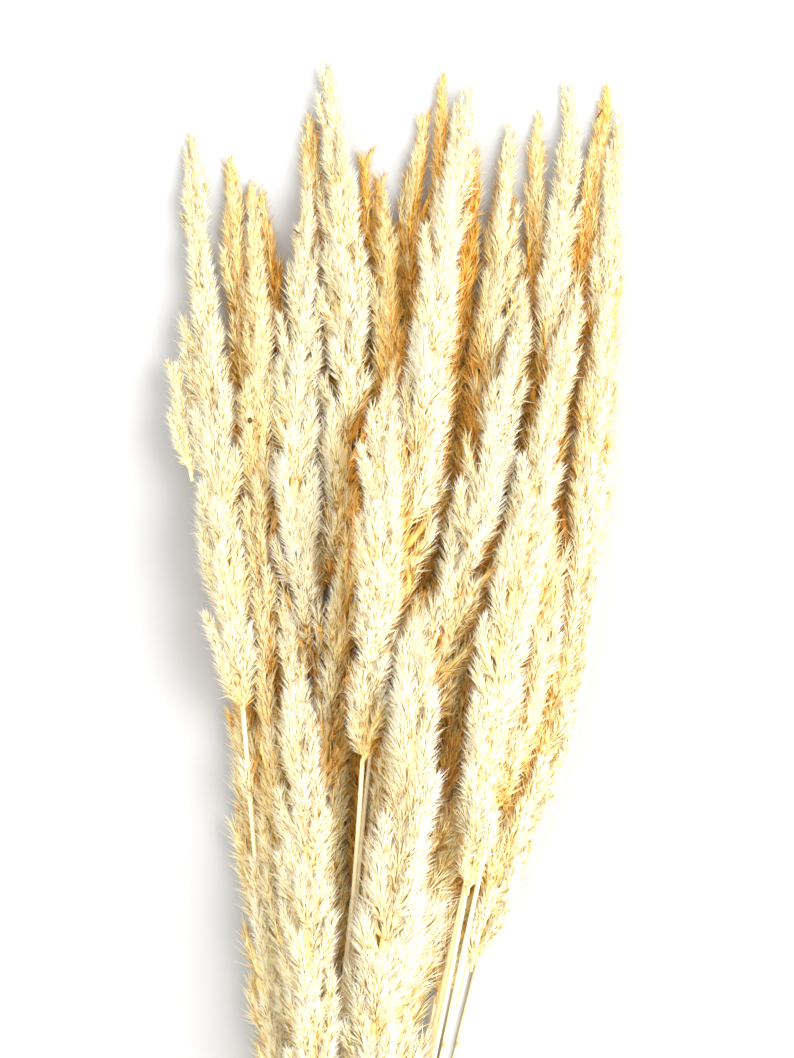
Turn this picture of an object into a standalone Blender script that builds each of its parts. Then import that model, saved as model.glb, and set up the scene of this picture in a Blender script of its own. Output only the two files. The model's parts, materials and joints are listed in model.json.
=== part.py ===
"""A bunch of dried pampas grass, laid down on a flat surface.

Twenty-nine reeds lie side by side, each a straw stem that carries one long plume. The stems gather at
the cut ends, at -Y, and the plumes fan out towards +Y. The origin is at the middle of the underside.
"""

import math

import bmesh
import bpy
import numpy as np
from mathutils import Matrix, Vector

MM = 0.001

# Colours of the dried grass, from the palest plume to the most golden one, and of its straw
CREAM = (0.95, 0.87, 0.68)
GOLDEN = (0.88, 0.68, 0.36)
STRAW = (0.87, 0.74, 0.47)
STRAW_ROUGHNESS = 0.45
PLUME_ROUGHNESS = 0.85

# Places along the bunch, from the middle of its plumes
CUT_ENDS = -466 * MM
CUT_END_SCATTER = 6 * MM
CUT_END_TURN = 2.4
FURTHEST_TIP = 232 * MM

# Straw stems
STEM_CUT_RADIUS = 1.6 * MM
STEM_TOP_RADIUS = 1.15 * MM
STEM_POINTS = 7

# Plumes: the radius along one, as a share of its fullest, from its base (0) to its tip (1)
PLUME_OUTLINE = ((0, 0.35), (0.04, 0.65), (0.1, 0.88), (0.2, 1), (0.6, 1), (0.72, 0.88),
                 (0.82, 0.7), (0.9, 0.5), (0.96, 0.32), (1, 0.1))
LOCK_COLUMNS = 8
LEAST_RINGS = 5
LOCK_SPACING = 22 * MM
LOCK_HOLLOW = 0.6
LOCK_REACH = 0.42 * LOCK_SPACING
LOCK_TUCK = 0.3

# How the stems gather where they are cut. They lie there in the order of their slants, and the four stems
# that cross others lie where these slants would put them.
GATHER_X = -36 * MM
GATHER_SPACING = 1.2 * MM
GATHER_HEIGHT = 0.3
STEM_DROP = 50 * MM
CROSSING_STEMS = {14: -1, 17: -1, 1: 0, 2: 0}

# Settling of the reeds on each other
STATION_STEP = 8 * MM
ROUNDS = 1200
EASED_OFF = 0.7
STIFFNESS = 0.45
LEAST_STIFFNESS = 0.1
HOLD = 0.06
FALL = 0.1 * MM
GIVE = 0.9
RIDE_OVER = 0.5 * MM
CLEARANCE = 0.8 * MM
SLANT_ALLOWANCE = 1.04
PRESSED = 0.86
JOINT_GAP = 0.3 * MM

# The slab that the underside is cut off flat on
SLAB = (1.2, 1.6, 0.1)

# Each reed: the heights at which its plume and its stem are laid, its plume's fullest radius, how golden
# it is from 0 to 1, and the way of its plume from tip to base as (across, along) points. Lengths are in
# millimetres, and the reeds run from the left edge to the right.
REEDS = (
    (34, 52, 10.5, 0.2, ((-108, 197), (-104, 152), (-96, 94), (-90, 34), (-85, -36), (-79, -94))),
    (10, 8, 8.5, 0.8, ((-88, 186), (-84, 162), (-82, 134), (-82, 100), (-78, 50), (-74, -46))),
    (24, 14, 8.5, 0.7, ((-78, 174), (-75, 140), (-74, 100), (-72, 50), (-69, -6), (-68, -80))),
    (14, 8, 8.5, 0.5, ((-72, 169), (-67, 147), (-64, 118), (-64, 94), (-61, -6), (-62, -60),
        (-60, -110))),
    (28, 20, 10.5, 0.12, ((-79, 13), (-76, -16), (-75, -56), (-75, -106), (-72, -143),
        (-67, -176), (-64, -216), (-61, -240), (-57, -264), (-51, -305))),
    (46, 36, 9, 0.1, ((-71, -65), (-66, -95), (-63, -130), (-63, -150), (-62, -176), (-58, -216),
        (-53, -250), (-46, -305))),
    (62, 42, 12.5, 0.05, ((-56, -38), (-52, -66), (-49, -96), (-49, -136), (-49, -196),
        (-47, -250), (-46, -310))),
    (40, 18, 11, 0.1, ((-45, 171), (-48, 152), (-51, 100), (-50, 64), (-50, 30), (-48, -16),
        (-42, -80))),
    (12, 8, 8.5, 0.4, ((-48, 210), (-45, 193), (-39, 140), (-38, 90), (-38, -36))),
    (38, 20, 12, 0.15, ((-39, 232), (-36, 210), (-32, 134), (-29, 100), (-30, 64), (-34, 24),
        (-44, -36))),
    (48, 30, 13, 0.05, ((-24, 12), (-28, -30), (-37, -70), (-39, -106), (-39, -146), (-38, -186),
        (-38, -300))),
    (12, 8, 10.5, 0.8, ((-20, 190), (-16, 164), (-12, 104), (-8, 64), (-9, 34), (-10, -56),
        (-20, -150), (-27, -220))),
    (24, 14, 8.5, 0.8, ((-12, 178), (-8, 157), (-5, 124), (-2, 90), (-2, 50), (-9, -26))),
    (66, 95, 10.5, 0.05, ((-3, 82), (0, 60), (-1, 34), (-5, 4), (-10, -26), (-13, -60), (-18, -118))),
    (12, 8, 9.5, 0.5, ((12, 209), (8, 187), (4, 134), (2, 94), (2, 50), (3, -46))),
    (26, 14, 9.5, 0.8, ((20, 228), (19, 204), (16, 154), (14, 114), (14, 64), (6, -76), (-2, -190))),
    (46, 90, 12.5, 0.1, ((34, 222), (26, 182), (19, 132), (10, 70), (5, 40), (-4, -30),
        (-10, -66), (-17, -114))),
    (12, 8, 9.0, 0.9, ((37, 187), (34, 154), (32, 114), (27, 40), (22, -6), (12, -86))),
    (30, 16, 11, 0.35, ((54, 203), (52, 177), (48, 114), (44, 80), (38, 40), (20, -56))),
    (52, 40, 13, 0.08, ((63, 120), (58, 100), (52, 74), (45, 44), (30, -16), (22, -50), (16, -86),
        (0, -160))),
    (12, 8, 11, 0.75, ((68, 208), (69, 180), (68, 114), (66, 80), (62, 40), (42, -80), (26, -190),
        (16, -240))),
    (30, 20, 10.5, 0.25, ((85, 224), (86, 194), (86, 167), (76, 102), (66, 37), (50, -60), (40, -130))),
    (48, 60, 11, 0.15, ((86, 118), (81, 102), (70, 50), (65, 14), (58, -30), (50, -76), (33, -182))),
    (12, 8, 8.5, 0.7, ((105, 222), (101, 194), (93, 144), (90, 114), (86, 80), (66, -56))),
    (16, 12, 10, 0.2, ((109, 206), (105, 184), (99, 130), (95, 94), (89, 50), (76, -60),
        (64, -120), (50, -170))),
    (44, 30, 11.5, 0, ((102, 114), (100, 90), (92, 24), (83, -46), (71, -99), (61, -130),
        (44, -166), (36, -188), (29, -222))),
    (48, 66, 11.5, 0.1, ((68, 22), (66, -30), (62, -60), (56, -90), (46, -142))),
    (46, 34, 14.5, 0.05, ((50, 2), (40, -46), (29, -75), (21, -115), (14, -150), (6, -176),
        (1, -210), (-3, -240), (-9, -300))),
    (76, 50, 13.5, 0.1, ((14, -30), (13, -56), (12, -89), (9, -113), (3, -142), (-7, -184),
        (-11, -222), (-14, -264), (-17, -305))),
)

# The side branch of the first plume: its fullest radius, and how far it stands off the plume, base to tip
SIDE_BRANCH_RADIUS = 4.0 * MM
SIDE_BRANCH_BASE = 24 * MM
SIDE_BRANCH_TIP = 84 * MM
SIDE_BRANCH_LEAN = 5.0 * MM


def clear_scene():
    for old in list(bpy.data.objects):
        bpy.data.objects.remove(old)


def dried_material(name, colour, roughness):
    made = bpy.data.materials.new(name)
    made.use_nodes = True
    surface = made.node_tree.nodes["Principled BSDF"]
    surface.inputs["Base Color"].default_value = (*colour, 1)
    surface.inputs["Roughness"].default_value = roughness
    surface.inputs["Metallic"].default_value = 0
    return made


def plume_radius(share, fullest):
    shares, sizes = zip(*PLUME_OUTLINE)
    return fullest * np.interp(share, shares, sizes)


def slant(way):
    """How far a stem leans across for each step along, from the gathered cut ends to its plume's base."""
    across, along = way[-1]
    return (across * MM - GATHER_X) / (along * MM - CUT_ENDS)


def cut_end(index):
    """Where a stem is cut: side by side in one bundle, each at a slightly different length."""
    slants = [CROSSING_STEMS.get(number, slant(way)) for number, (*_, way) in enumerate(REEDS, 1)]
    order = sorted(range(len(REEDS)), key=slants.__getitem__)
    across = GATHER_X + (order.index(index) - len(REEDS) / 2) * GATHER_SPACING
    along = CUT_ENDS + CUT_END_SCATTER * math.sin(CUT_END_TURN * index)
    return across, along


class Reed:
    """One reed as it is laid: its line at every station, and where its stem and its plume are."""

    def __init__(self, index, stations):
        laid, stem_laid, fullest, self.golden, way = REEDS[index]
        points = [(x * MM, y * MM) for x, y in reversed(way)]
        self.fullest = fullest * MM
        self.base, self.tip = points[0][1], points[-1][1]
        end = cut_end(index)
        self.low = end[1]
        xs, ys = zip(end, *points)
        self.across = np.interp(stations, ys, xs)
        heights = (stem_laid * GATHER_HEIGHT * MM, stem_laid * MM, laid * MM)
        self.height = np.interp(stations, (CUT_ENDS, self.base - STEM_DROP, self.base), heights)
        share = (stations - self.base) / (self.tip - self.base)
        straw = np.interp(stations, (self.low, self.base), (STEM_CUT_RADIUS, STEM_TOP_RADIUS))
        plume = plume_radius(share, self.fullest)
        self.radius = np.where(share < 0, straw, plume)
        self.lowest = np.where(share < 0, straw, plume * PRESSED)
        # The last locks reach a little past the tip
        self.there = (stations > self.low) & (stations < self.tip + STATION_STEP)
        self.knots = np.linspace(self.low, self.base, STEM_POINTS)
        self.hats = self.straight_between_knots(stations)
        self.fit = np.linalg.pinv(self.hats)
        self.knot_floor = np.concatenate((np.linspace(STEM_CUT_RADIUS, STEM_TOP_RADIUS, STEM_POINTS),
                                          self.lowest[self.free]))

    def straight_between_knots(self, stations):
        """The shapes that the reed's line can take: straight between the stem's knots, free in the plume."""
        self.free = (stations < self.low) | (stations > self.base)
        straws = [np.where(self.free, 0, np.interp(stations, self.knots, one))
                  for one in np.eye(STEM_POINTS)]
        return np.column_stack((*straws, np.eye(len(stations))[:, self.free]))

    def bent(self, line, floor=None):
        """The line as near to this one as the reed can bend, no lower than the floor."""
        held = self.fit @ line
        if floor is not None:
            held = np.maximum(held, floor)
        return self.hats @ held


def settle(reeds):
    """Lets the reeds come to rest: stiff, held near their place across, and pushed out of each other."""
    across, height, radius, there = (np.array([getattr(reed, key) for reed in reeds])
                                     for key in ("across", "height", "radius", "there"))
    aim = across.copy()
    inner = there[:, :-2] & there[:, 1:-1] & there[:, 2:]
    both = there[:, None] & there[None] & ~np.eye(len(reeds), dtype=bool)[:, :, None]
    wanted = (radius[:, None] + radius[None]) * SLANT_ALLOWANCE + CLEARANCE
    yields = radius[None] / (radius[:, None] + radius[None])
    over = RIDE_OVER * np.sign(height[:, None] - height[None])
    for step in range(ROUNDS):
        ease = max(0.0, 1 - step / (EASED_OFF * ROUNDS))
        for line in (across, height):
            bend = (line[:, :-2] + line[:, 2:]) / 2 - line[:, 1:-1]
            line[:, 1:-1] += np.where(inner, STIFFNESS * min(1.0, LEAST_STIFFNESS + ease) * bend, 0)
        across += HOLD * ease * (aim - across)
        height -= FALL * ease
        apart_x = across[:, None] - across[None]
        apart_z = height[:, None] - height[None] + over
        distance = np.hypot(apart_x, apart_z) + 1e-9
        push = np.where(both, np.clip(wanted - distance, 0, None), 0) * yields * GIVE / distance
        across += (push * apart_x).sum(axis=1)
        height += (push * apart_z).sum(axis=1)
        for index, reed in enumerate(reeds):
            across[index] = reed.bent(across[index])
            height[index] = reed.bent(height[index], reed.knot_floor)
    for line in (across, height):
        run_on_straight(line, there)
    return across, height


def run_on_straight(lines, there):
    """Past its own ends a reed's line runs on straight, so that it can be read anywhere."""
    for line, present in zip(lines, there):
        first, last = np.flatnonzero(present)[[0, -1]]
        for at in range(first - 1, -1, -1):
            line[at] = 2 * line[at + 1] - line[at + 2]
        for at in range(last + 1, len(line)):
            line[at] = 2 * line[at - 1] - line[at - 2]


class Line:
    """The settled middle line of one reed, read by its place along the bunch."""

    def __init__(self, stations, across, height):
        self.stations, self.across, self.height = stations, across, height

    def at(self, along):
        x = np.interp(along, self.stations, self.across)
        z = np.interp(along, self.stations, self.height)
        return Vector((x, along, z))

    def frame(self, along):
        """The place with axes that follow the line: side, up, and forward towards the tip."""
        forward = (self.at(along + STATION_STEP) - self.at(along - STATION_STEP)).normalized()
        side = forward.cross(Vector((0, 0, 1))).normalized()
        return self.at(along), side, side.cross(forward), forward


def side_branch_line(stations, across, height, radius):
    """The side branch lies against the first plume at its base and leans away from it towards its tip."""
    share = np.clip((stations - SIDE_BRANCH_BASE) / (SIDE_BRANCH_TIP - SIDE_BRANCH_BASE), 0, 1)
    apart = radius + plume_radius(share, SIDE_BRANCH_RADIUS) + JOINT_GAP + SIDE_BRANCH_LEAN * share ** 2
    return Line(stations, across - apart, height)


def new_object(name, mesh, material, collection):
    made = bpy.data.objects.new(name, mesh)
    made.data.materials.clear()
    made.data.materials.append(material)
    collection.objects.link(made)
    return made


def add_stem(name, line, reed, collection):
    """A straw: a tapered tube through the reed's knots, a little thicker where it was cut."""
    curve = bpy.data.curves.new(name, "CURVE")
    curve.dimensions = "3D"
    curve.bevel_depth = STEM_CUT_RADIUS
    curve.bevel_resolution = 1
    curve.use_fill_caps = True
    spline = curve.splines.new("POLY")
    spline.points.add(STEM_POINTS - 1)
    for point, along in zip(spline.points, reed.knots):
        share = (along - reed.low) / (reed.base - reed.low)
        point.co = (*line.at(min(along, reed.base - JOINT_GAP)), 1)
        point.radius = 1 - share * (1 - STEM_TOP_RADIUS / STEM_CUT_RADIUS)
    return new_object(name, curve, dried_material(name, STRAW, STRAW_ROUGHNESS), collection)


def ring_places(line, along, radius, ring, reach):
    """The corners of one ring of a plume. Every second corner is the tip of a lock, the others the hollow."""
    middle, side, up, forward = line.frame(along)
    for column in range(LOCK_COLUMNS):
        angle = 2 * math.pi * (column + 0.5) / LOCK_COLUMNS
        is_tip = (column + ring) % 2 == 0
        outwards = side * math.cos(angle) + up * math.sin(angle)
        size = radius if is_tip else radius * LOCK_HOLLOW
        shift = reach if is_tip else -LOCK_TUCK * reach
        yield middle + outwards * size + forward * shift


def add_plume(name, line, span, fullest, golden, collection):
    """A plume: a disc at its base, extruded ring by ring along the line into staggered pointed locks."""
    base, tip = span
    rings = max(LEAST_RINGS, round((tip - base) / LOCK_SPACING))
    mesh = bmesh.new()
    bmesh.ops.create_circle(mesh, cap_ends=True, segments=LOCK_COLUMNS, radius=fullest)
    mesh.faces.ensure_lookup_table()
    corners = list(mesh.verts)
    face = mesh.faces[0]
    for ring in range(rings + 1):
        share = ring / rings
        if ring:
            grown = bmesh.ops.extrude_face_region(mesh, geom=[face, *face.edges])["geom"]
            copies = {edge.other_vert(corner): corner for corner in corners for edge in corner.link_edges
                      if edge.other_vert(corner) in grown}
            corners = sorted(copies, key=lambda copy: corners.index(copies[copy]))
            face = next(part for part in grown if isinstance(part, bmesh.types.BMFace))
        ends = min(ring, rings - ring)
        reach = LOCK_REACH * min(1, ends / 2)
        radius = plume_radius(share, fullest)
        places = ring_places(line, base + share * (tip - base), radius, ring, reach)
        for corner, place in zip(corners, places):
            corner.co = place
    bmesh.ops.recalc_face_normals(mesh, faces=mesh.faces)
    data = bpy.data.meshes.new(name)
    mesh.to_mesh(data)
    mesh.free()
    colour = [pale + golden * (deep - pale) for pale, deep in zip(CREAM, GOLDEN)]
    return new_object(name, data, dried_material(name, colour, PLUME_ROUGHNESS), collection)


def add_floor_cutter(collection):
    """A slab under the bunch. What the lowest plumes would sink into it is cut off flat."""
    mesh = bmesh.new()
    bmesh.ops.create_cube(mesh, size=1)
    bmesh.ops.scale(mesh, verts=mesh.verts, vec=SLAB)
    bmesh.ops.translate(mesh, verts=mesh.verts, vec=(0, 0, -SLAB[2] / 2))
    data = bpy.data.meshes.new("surface")
    mesh.to_mesh(data)
    mesh.free()
    cutter = bpy.data.objects.new("surface", data)
    cutter.hide_render = True
    cutter.display_type = "WIRE"
    collection.objects.link(cutter)
    return cutter


def rest_flat(obj, cutter):
    """Cuts a plume off flat at the surface where it would reach below it."""
    if min(corner[2] for corner in obj.bound_box) < 0:
        pressed = obj.modifiers.new("pressed_flat", "BOOLEAN")
        pressed.operation = "DIFFERENCE"
        pressed.object = cutter


def middle_of(objects):
    """The middle, from above, of all the objects together."""
    graph = bpy.context.evaluated_depsgraph_get()
    corners = []
    for obj in objects:
        shown = obj.evaluated_get(graph)
        corners += [vertex.co.copy() for vertex in shown.to_mesh().vertices]
        shown.to_mesh_clear()
    low, high = (Vector(map(pick, *corners)) for pick in (min, max))
    return Vector(((low.x + high.x) / 2, (low.y + high.y) / 2, 0))


def main():
    clear_scene()
    bunch = bpy.data.collections.new("dried_pampas_bunch")
    cutters = bpy.data.collections.new("cutters")
    for collection in (bunch, cutters):
        bpy.context.scene.collection.children.link(collection)
    stations = np.arange(CUT_ENDS - 2 * CUT_END_SCATTER, FURTHEST_TIP + STATION_STEP, STATION_STEP)
    reeds = [Reed(index, stations) for index in range(len(REEDS))]
    across, height = settle(reeds)
    made = []
    for index, reed in enumerate(reeds):
        line = Line(stations, across[index], height[index])
        number = f"{index + 1:02d}"
        stem = add_stem(f"stem_{number}", line, reed, bunch)
        plume = add_plume(f"plume_{number}", line, (reed.base, reed.tip), reed.fullest, reed.golden, bunch)
        made += [stem, plume]
    beside = side_branch_line(stations, across[0], height[0], reeds[0].radius)
    span = (SIDE_BRANCH_BASE, SIDE_BRANCH_TIP)
    made.append(add_plume("side_branch", beside, span, SIDE_BRANCH_RADIUS, reeds[0].golden, bunch))

    cutter = add_floor_cutter(cutters)
    bpy.context.view_layer.update()
    for obj in made:
        if obj.type == "MESH":
            rest_flat(obj, cutter)
    bpy.context.view_layer.update()
    shift = Matrix.Translation(-middle_of(made))
    for obj in made:
        obj.matrix_world = shift @ obj.matrix_world
    cutter.matrix_world = shift @ cutter.matrix_world


main()
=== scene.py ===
# %% [markdown]
# # A bunch of dried pampas grass
#
# Twenty-nine dried reeds lie side by side on a pale table. Each is a straw with one long plume, and the
# plumes fan out at one end. This lesson dresses the bunch: it grows the hair of every plume as mesh,
# turns plain rods into straws with joints and cut ends, and lights them like a bright studio picture.
#
# The plain solids of the bunch are loaded first. They say where every reed lies, so nothing here is placed
# by eye: each plume's hair is combed along the middle line of its own solid.

import json
import math

import bmesh
import bpy
import numpy as np
from mathutils import Matrix, Vector


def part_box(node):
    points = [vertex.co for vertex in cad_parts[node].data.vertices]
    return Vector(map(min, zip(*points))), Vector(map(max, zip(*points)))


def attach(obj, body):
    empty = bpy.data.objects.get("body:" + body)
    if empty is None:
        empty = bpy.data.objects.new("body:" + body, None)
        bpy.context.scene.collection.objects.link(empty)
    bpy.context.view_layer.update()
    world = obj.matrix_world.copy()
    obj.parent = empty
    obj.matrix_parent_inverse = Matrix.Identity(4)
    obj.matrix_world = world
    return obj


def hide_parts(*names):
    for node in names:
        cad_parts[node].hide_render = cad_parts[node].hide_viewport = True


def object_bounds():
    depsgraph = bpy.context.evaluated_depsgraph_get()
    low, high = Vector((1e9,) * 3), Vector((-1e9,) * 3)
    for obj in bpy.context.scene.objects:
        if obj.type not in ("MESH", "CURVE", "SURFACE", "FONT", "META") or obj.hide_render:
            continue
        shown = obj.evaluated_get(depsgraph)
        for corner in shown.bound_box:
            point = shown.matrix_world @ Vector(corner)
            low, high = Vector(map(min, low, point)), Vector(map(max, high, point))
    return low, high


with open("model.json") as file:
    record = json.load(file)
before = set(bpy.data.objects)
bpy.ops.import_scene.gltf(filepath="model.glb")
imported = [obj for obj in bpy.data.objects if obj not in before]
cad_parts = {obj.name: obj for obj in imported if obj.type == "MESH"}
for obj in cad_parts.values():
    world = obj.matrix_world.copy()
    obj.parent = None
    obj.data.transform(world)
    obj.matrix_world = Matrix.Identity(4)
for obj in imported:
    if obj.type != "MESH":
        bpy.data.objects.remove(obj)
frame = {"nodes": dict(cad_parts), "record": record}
MM = 0.001
CAD_LOW, CAD_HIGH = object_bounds()
CAD_MIDDLE = (CAD_LOW + CAD_HIGH) / 2
PLUMES = sorted(name for name in frame["nodes"] if name.startswith("plume"))
STEMS = sorted(name for name in frame["nodes"] if name.startswith("stem"))
SLOTS = {row["node"]: row["material_slot"] for row in frame["record"]["subparts"]}
print(len(PLUMES), "plumes and", len(STEMS), "stems, box in mm:",
      [round(side / MM) for side in CAD_HIGH - CAD_LOW])

# %% [markdown]
# ## The camera
#
# The bunch lies down, so a picture of it is taken from straight above, with the plume tips at the top.
# The cut ends stay below the picture's edge. A camera far away with a long lens draws the high plumes
# and the low ones at nearly the same scale, which keeps the crossings of the plumes where they belong.

# %% Camera
VIEW_HEIGHT = 529 * MM
VIEW_ABOVE_TIPS = 32 * MM
CAMERA_DISTANCE = 2.4
SENSOR = 36.0
SHARP_HEIGHT = 35 * MM


def link(obj):
    bpy.context.scene.collection.objects.link(obj)
    return obj


lens = bpy.data.cameras.new("studio_camera")
lens.sensor_fit = "VERTICAL"
lens.sensor_height = SENSOR
lens.lens = SENSOR * CAMERA_DISTANCE / VIEW_HEIGHT
camera = link(bpy.data.objects.new("studio_camera", lens))
view_middle = CAD_HIGH.y + VIEW_ABOVE_TIPS - VIEW_HEIGHT / 2
camera.location = (CAD_MIDDLE.x, view_middle, SHARP_HEIGHT + CAMERA_DISTANCE)
bpy.context.scene.camera = camera
print("camera looks down on y =", round(view_middle, 4), "with a lens of", round(lens.lens, 1), "mm")

# %% [markdown]
# ## Table and light
#
# The picture is bright and soft: a nearly white surface, a large soft light from the right that almost
# burns out the right-hand plumes, and a faint wide shadow on the left. An even warm sky gives most of the
# light, so that the gaps between plumes glow instead of going black. The table is a shade darker and bluer
# than it looks: this light turns it back to white, while the pale hair stays brighter than the table. The
# standard view transform keeps whites white and the straw colours strong.

# %% Table, light and sky
TABLE_SIDE = 8.0
TABLE_DROP = 0.2 * MM
TABLE_COLOUR = (0.417, 0.427, 0.443)
TABLE_ROUGHNESS = 0.8
SKY_COLOUR = (1.0, 0.978, 0.94)
SKY_STRENGTH = 1.88
KEY_WATTS = 64.0
KEY_COLOUR = (1.0, 0.985, 0.96)
KEY_PLACE = (1.3, 0.35, 1.75)
KEY_SIZE = 1.6


def mesh_object(name, shape, material):
    """A new object from a bmesh, which is used up."""
    data = bpy.data.meshes.new(name)
    shape.to_mesh(data)
    shape.free()
    data.materials.append(material)
    return link(bpy.data.objects.new(name, data))


def new_material(name, roughness):
    """A new material, its Principled surface and what its tree needs for more nodes."""
    made = bpy.data.materials.new(name)
    made.use_nodes = True
    surface = made.node_tree.nodes["Principled BSDF"]
    surface.inputs["Roughness"].default_value = roughness
    return made, surface, made.node_tree.nodes, made.node_tree.links


def soft_light(name, place, target, size, watts, colour):
    lamp = bpy.data.lights.new(name, "AREA")
    lamp.shape = "DISK"
    lamp.size = size
    lamp.energy = watts
    lamp.color = colour
    made = link(bpy.data.objects.new(name, lamp))
    made.location = place
    made.rotation_euler = (Vector(target) - Vector(place)).to_track_quat("-Z", "Y").to_euler()
    return made


table = bmesh.new()
bmesh.ops.create_grid(table, x_segments=1, y_segments=1, size=TABLE_SIDE / 2)
bmesh.ops.translate(table, verts=table.verts, vec=(0, 0, -TABLE_DROP))
table_look, table_surface, *_ = new_material("pale_table", TABLE_ROUGHNESS)
table_surface.inputs["Base Color"].default_value = (*TABLE_COLOUR, 1)
mesh_object("table", table, table_look)

soft_light("key_light", KEY_PLACE, (0, view_middle, 0), KEY_SIZE, KEY_WATTS, KEY_COLOUR)
sky = bpy.data.worlds.new("sky")
sky.use_nodes = True
sky.node_tree.nodes["Background"].inputs["Color"].default_value = (*SKY_COLOUR, 1)
sky.node_tree.nodes["Background"].inputs["Strength"].default_value = SKY_STRENGTH
bpy.context.scene.world = sky
bpy.context.scene.view_settings.view_transform = "Standard"
print("table, one soft light and an even sky")

# %% [markdown]
# ## Where a reed runs
#
# Every plume and stem has a plain solid. Cutting that solid with planes across the bunch gives small
# outlines, and the middle of each outline is a point on the middle line. A plume that rests on the table is
# cut off flat below, so its height is read down from its top, by the half width that it has sideways.

# %% Middle lines
SLICE = 8 * MM
LEAST_SLICES = 4
END_INSET = 1 * MM
TIP_CORNER = math.cos(math.pi / 8)


def unit(vectors):
    return vectors / np.maximum(np.linalg.norm(vectors, axis=-1, keepdims=True), 1e-12)


def axes_beside(forward):
    """Two directions square to each forward one: one to the side, and one up."""
    side = unit(np.cross(forward, (0.0, 0.0, 1.0)))
    return side, np.cross(side, forward)


def crossings(node, along):
    """Where the edges of a solid pass through the plane across the bunch at this place along it."""
    data = frame["nodes"][node].data
    corners = np.array([corner.co for corner in data.vertices])
    ends = np.array([edge.vertices[:] for edge in data.edges])
    first, last = corners[ends[:, 0]], corners[ends[:, 1]]
    passing = (first[:, 1] - along) * (last[:, 1] - along) < 0
    first, last = first[passing], last[passing]
    share = (along - first[:, 1]) / (last[:, 1] - first[:, 1])
    return first + share[:, None] * (last - first)


class Way:
    """The middle line of one reed part from base to tip, with its half width, read by the place along."""

    def __init__(self, node):
        low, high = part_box(node)
        count = max(LEAST_SLICES, round((high.y - low.y) / SLICE))
        self.low, self.high = low.y, high.y
        self.along = np.linspace(low.y, high.y, count + 1)
        inside = np.clip(self.along, low.y + END_INSET, high.y - END_INSET)
        rows = []
        for place in inside:
            cut = crossings(node, place)
            half = np.ptp(cut[:, 0]) / 2
            rows.append((cut[:, 0].min() + half, cut[:, 2].max() - half, half / TIP_CORNER))
        rows = np.array(rows)
        rows[:, 2] = self.widest_near(rows[:, 2])
        self.across, self.height, self.width = self.smoothed(rows).T

    @staticmethod
    def widest_near(widths):
        """Outlines shrink between the tips of the locks, so the widest of three neighbours counts."""
        padded = np.concatenate((widths[:1], widths, widths[-1:]))
        return np.maximum(np.maximum(padded[:-2], padded[1:-1]), padded[2:])

    @staticmethod
    def smoothed(rows):
        padded = np.vstack((2 * rows[0] - rows[1], rows, 2 * rows[-1] - rows[-2]))
        return (padded[:-2] + 2 * padded[1:-1] + padded[2:]) / 4

    def at(self, along):
        """Points on the line, one row each. Past the tip the line runs on straight."""
        along = np.asarray(along, float)
        steps = (np.diff(self.across)[-1], np.diff(self.height)[-1]) / np.diff(self.along)[-1]
        beyond = np.clip(along - self.high, 0, None)
        x = np.interp(along, self.along, self.across) + beyond * steps[0]
        z = np.interp(along, self.along, self.height) + beyond * steps[1]
        return np.stack((x, along, z), axis=-1)

    def half_width(self, along):
        return np.interp(along, self.along, self.width)

    def forward(self, along):
        along = np.asarray(along, float)
        return unit(self.at(along + SLICE / 2) - self.at(along - SLICE / 2))

    def bend(self, corners):
        """Carries corners from round an upright line to round this one: their height is the way along."""
        along = self.low + corners[:, 2]
        side, up = axes_beside(self.forward(along))
        return self.at(along) + side * corners[:, :1] + up * corners[:, 1:2]


ways = {name: Way(name) for name in frame["nodes"]}
lengths = [ways[name].high - ways[name].low for name in PLUMES]
print("plumes from", round(min(lengths) / MM), "to", round(max(lengths) / MM), "mm long")

# %% [markdown]
# ## What lies deep in the bunch
#
# Hairs deep in the bunch are painted more golden, which is painted shade for the shade under and between the
# plumes. So each hair needs to know how deep it lies. A point counts as covered where another plume's line
# runs above it, less and less towards that plume's edge and a little beyond. The flanks and the underside of
# a plume get painted shade too, so a point's depth below its own plume's upper side counts as well. Where the
# plumes begin, low in the bunch, less shade is painted, and the cover counts for less.

# %% Cover
COVER_EDGE = 11 * MM
COVER_DEPTH = 10 * MM
COVER_REACH = 1.35
FLANK_FROM = 0.35
# The painted shade of covered hairs grows from its least low in the bunch to full near the tips.
PAINTED_SHADE_GROWS_BETWEEN = (-130 * MM, 50 * MM)
PAINTED_SHADE_LEAST = 0.35


def painted_shade_along(along):
    """How much painted shade covered hairs get at these places along the bunch."""
    return np.interp(along, PAINTED_SHADE_GROWS_BETWEEN, (PAINTED_SHADE_LEAST, 1))


def flank(points, way):
    """How far down its own plume each point lies, from 0 on the upper side to 1 on the lower side."""
    line = way.at(points[:, 1])
    return np.clip((line[:, 2] - points[:, 2]) / way.half_width(points[:, 1]) + FLANK_FROM, 0, 1)


def covered(points, own):
    """How much the other plumes lie over each point, from 0 in the open to 1 well beneath them."""
    cover = np.zeros(len(points))
    for name in PLUMES:
        way = ways[name]
        near = (points[:, 1] > way.low) & (points[:, 1] < way.high)
        if name == own or not near.any():
            continue
        place = points[near]
        line = way.at(place[:, 1])
        beside = np.abs(place[:, 0] - line[:, 0]) / (way.half_width(place[:, 1]) + COVER_EDGE)
        below = (line[:, 2] - place[:, 2]) / COVER_DEPTH
        cover[near] += np.clip(COVER_REACH - beside, 0, 1) * np.clip(below, 0, 1)
    return np.minimum(cover, 1)


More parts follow.
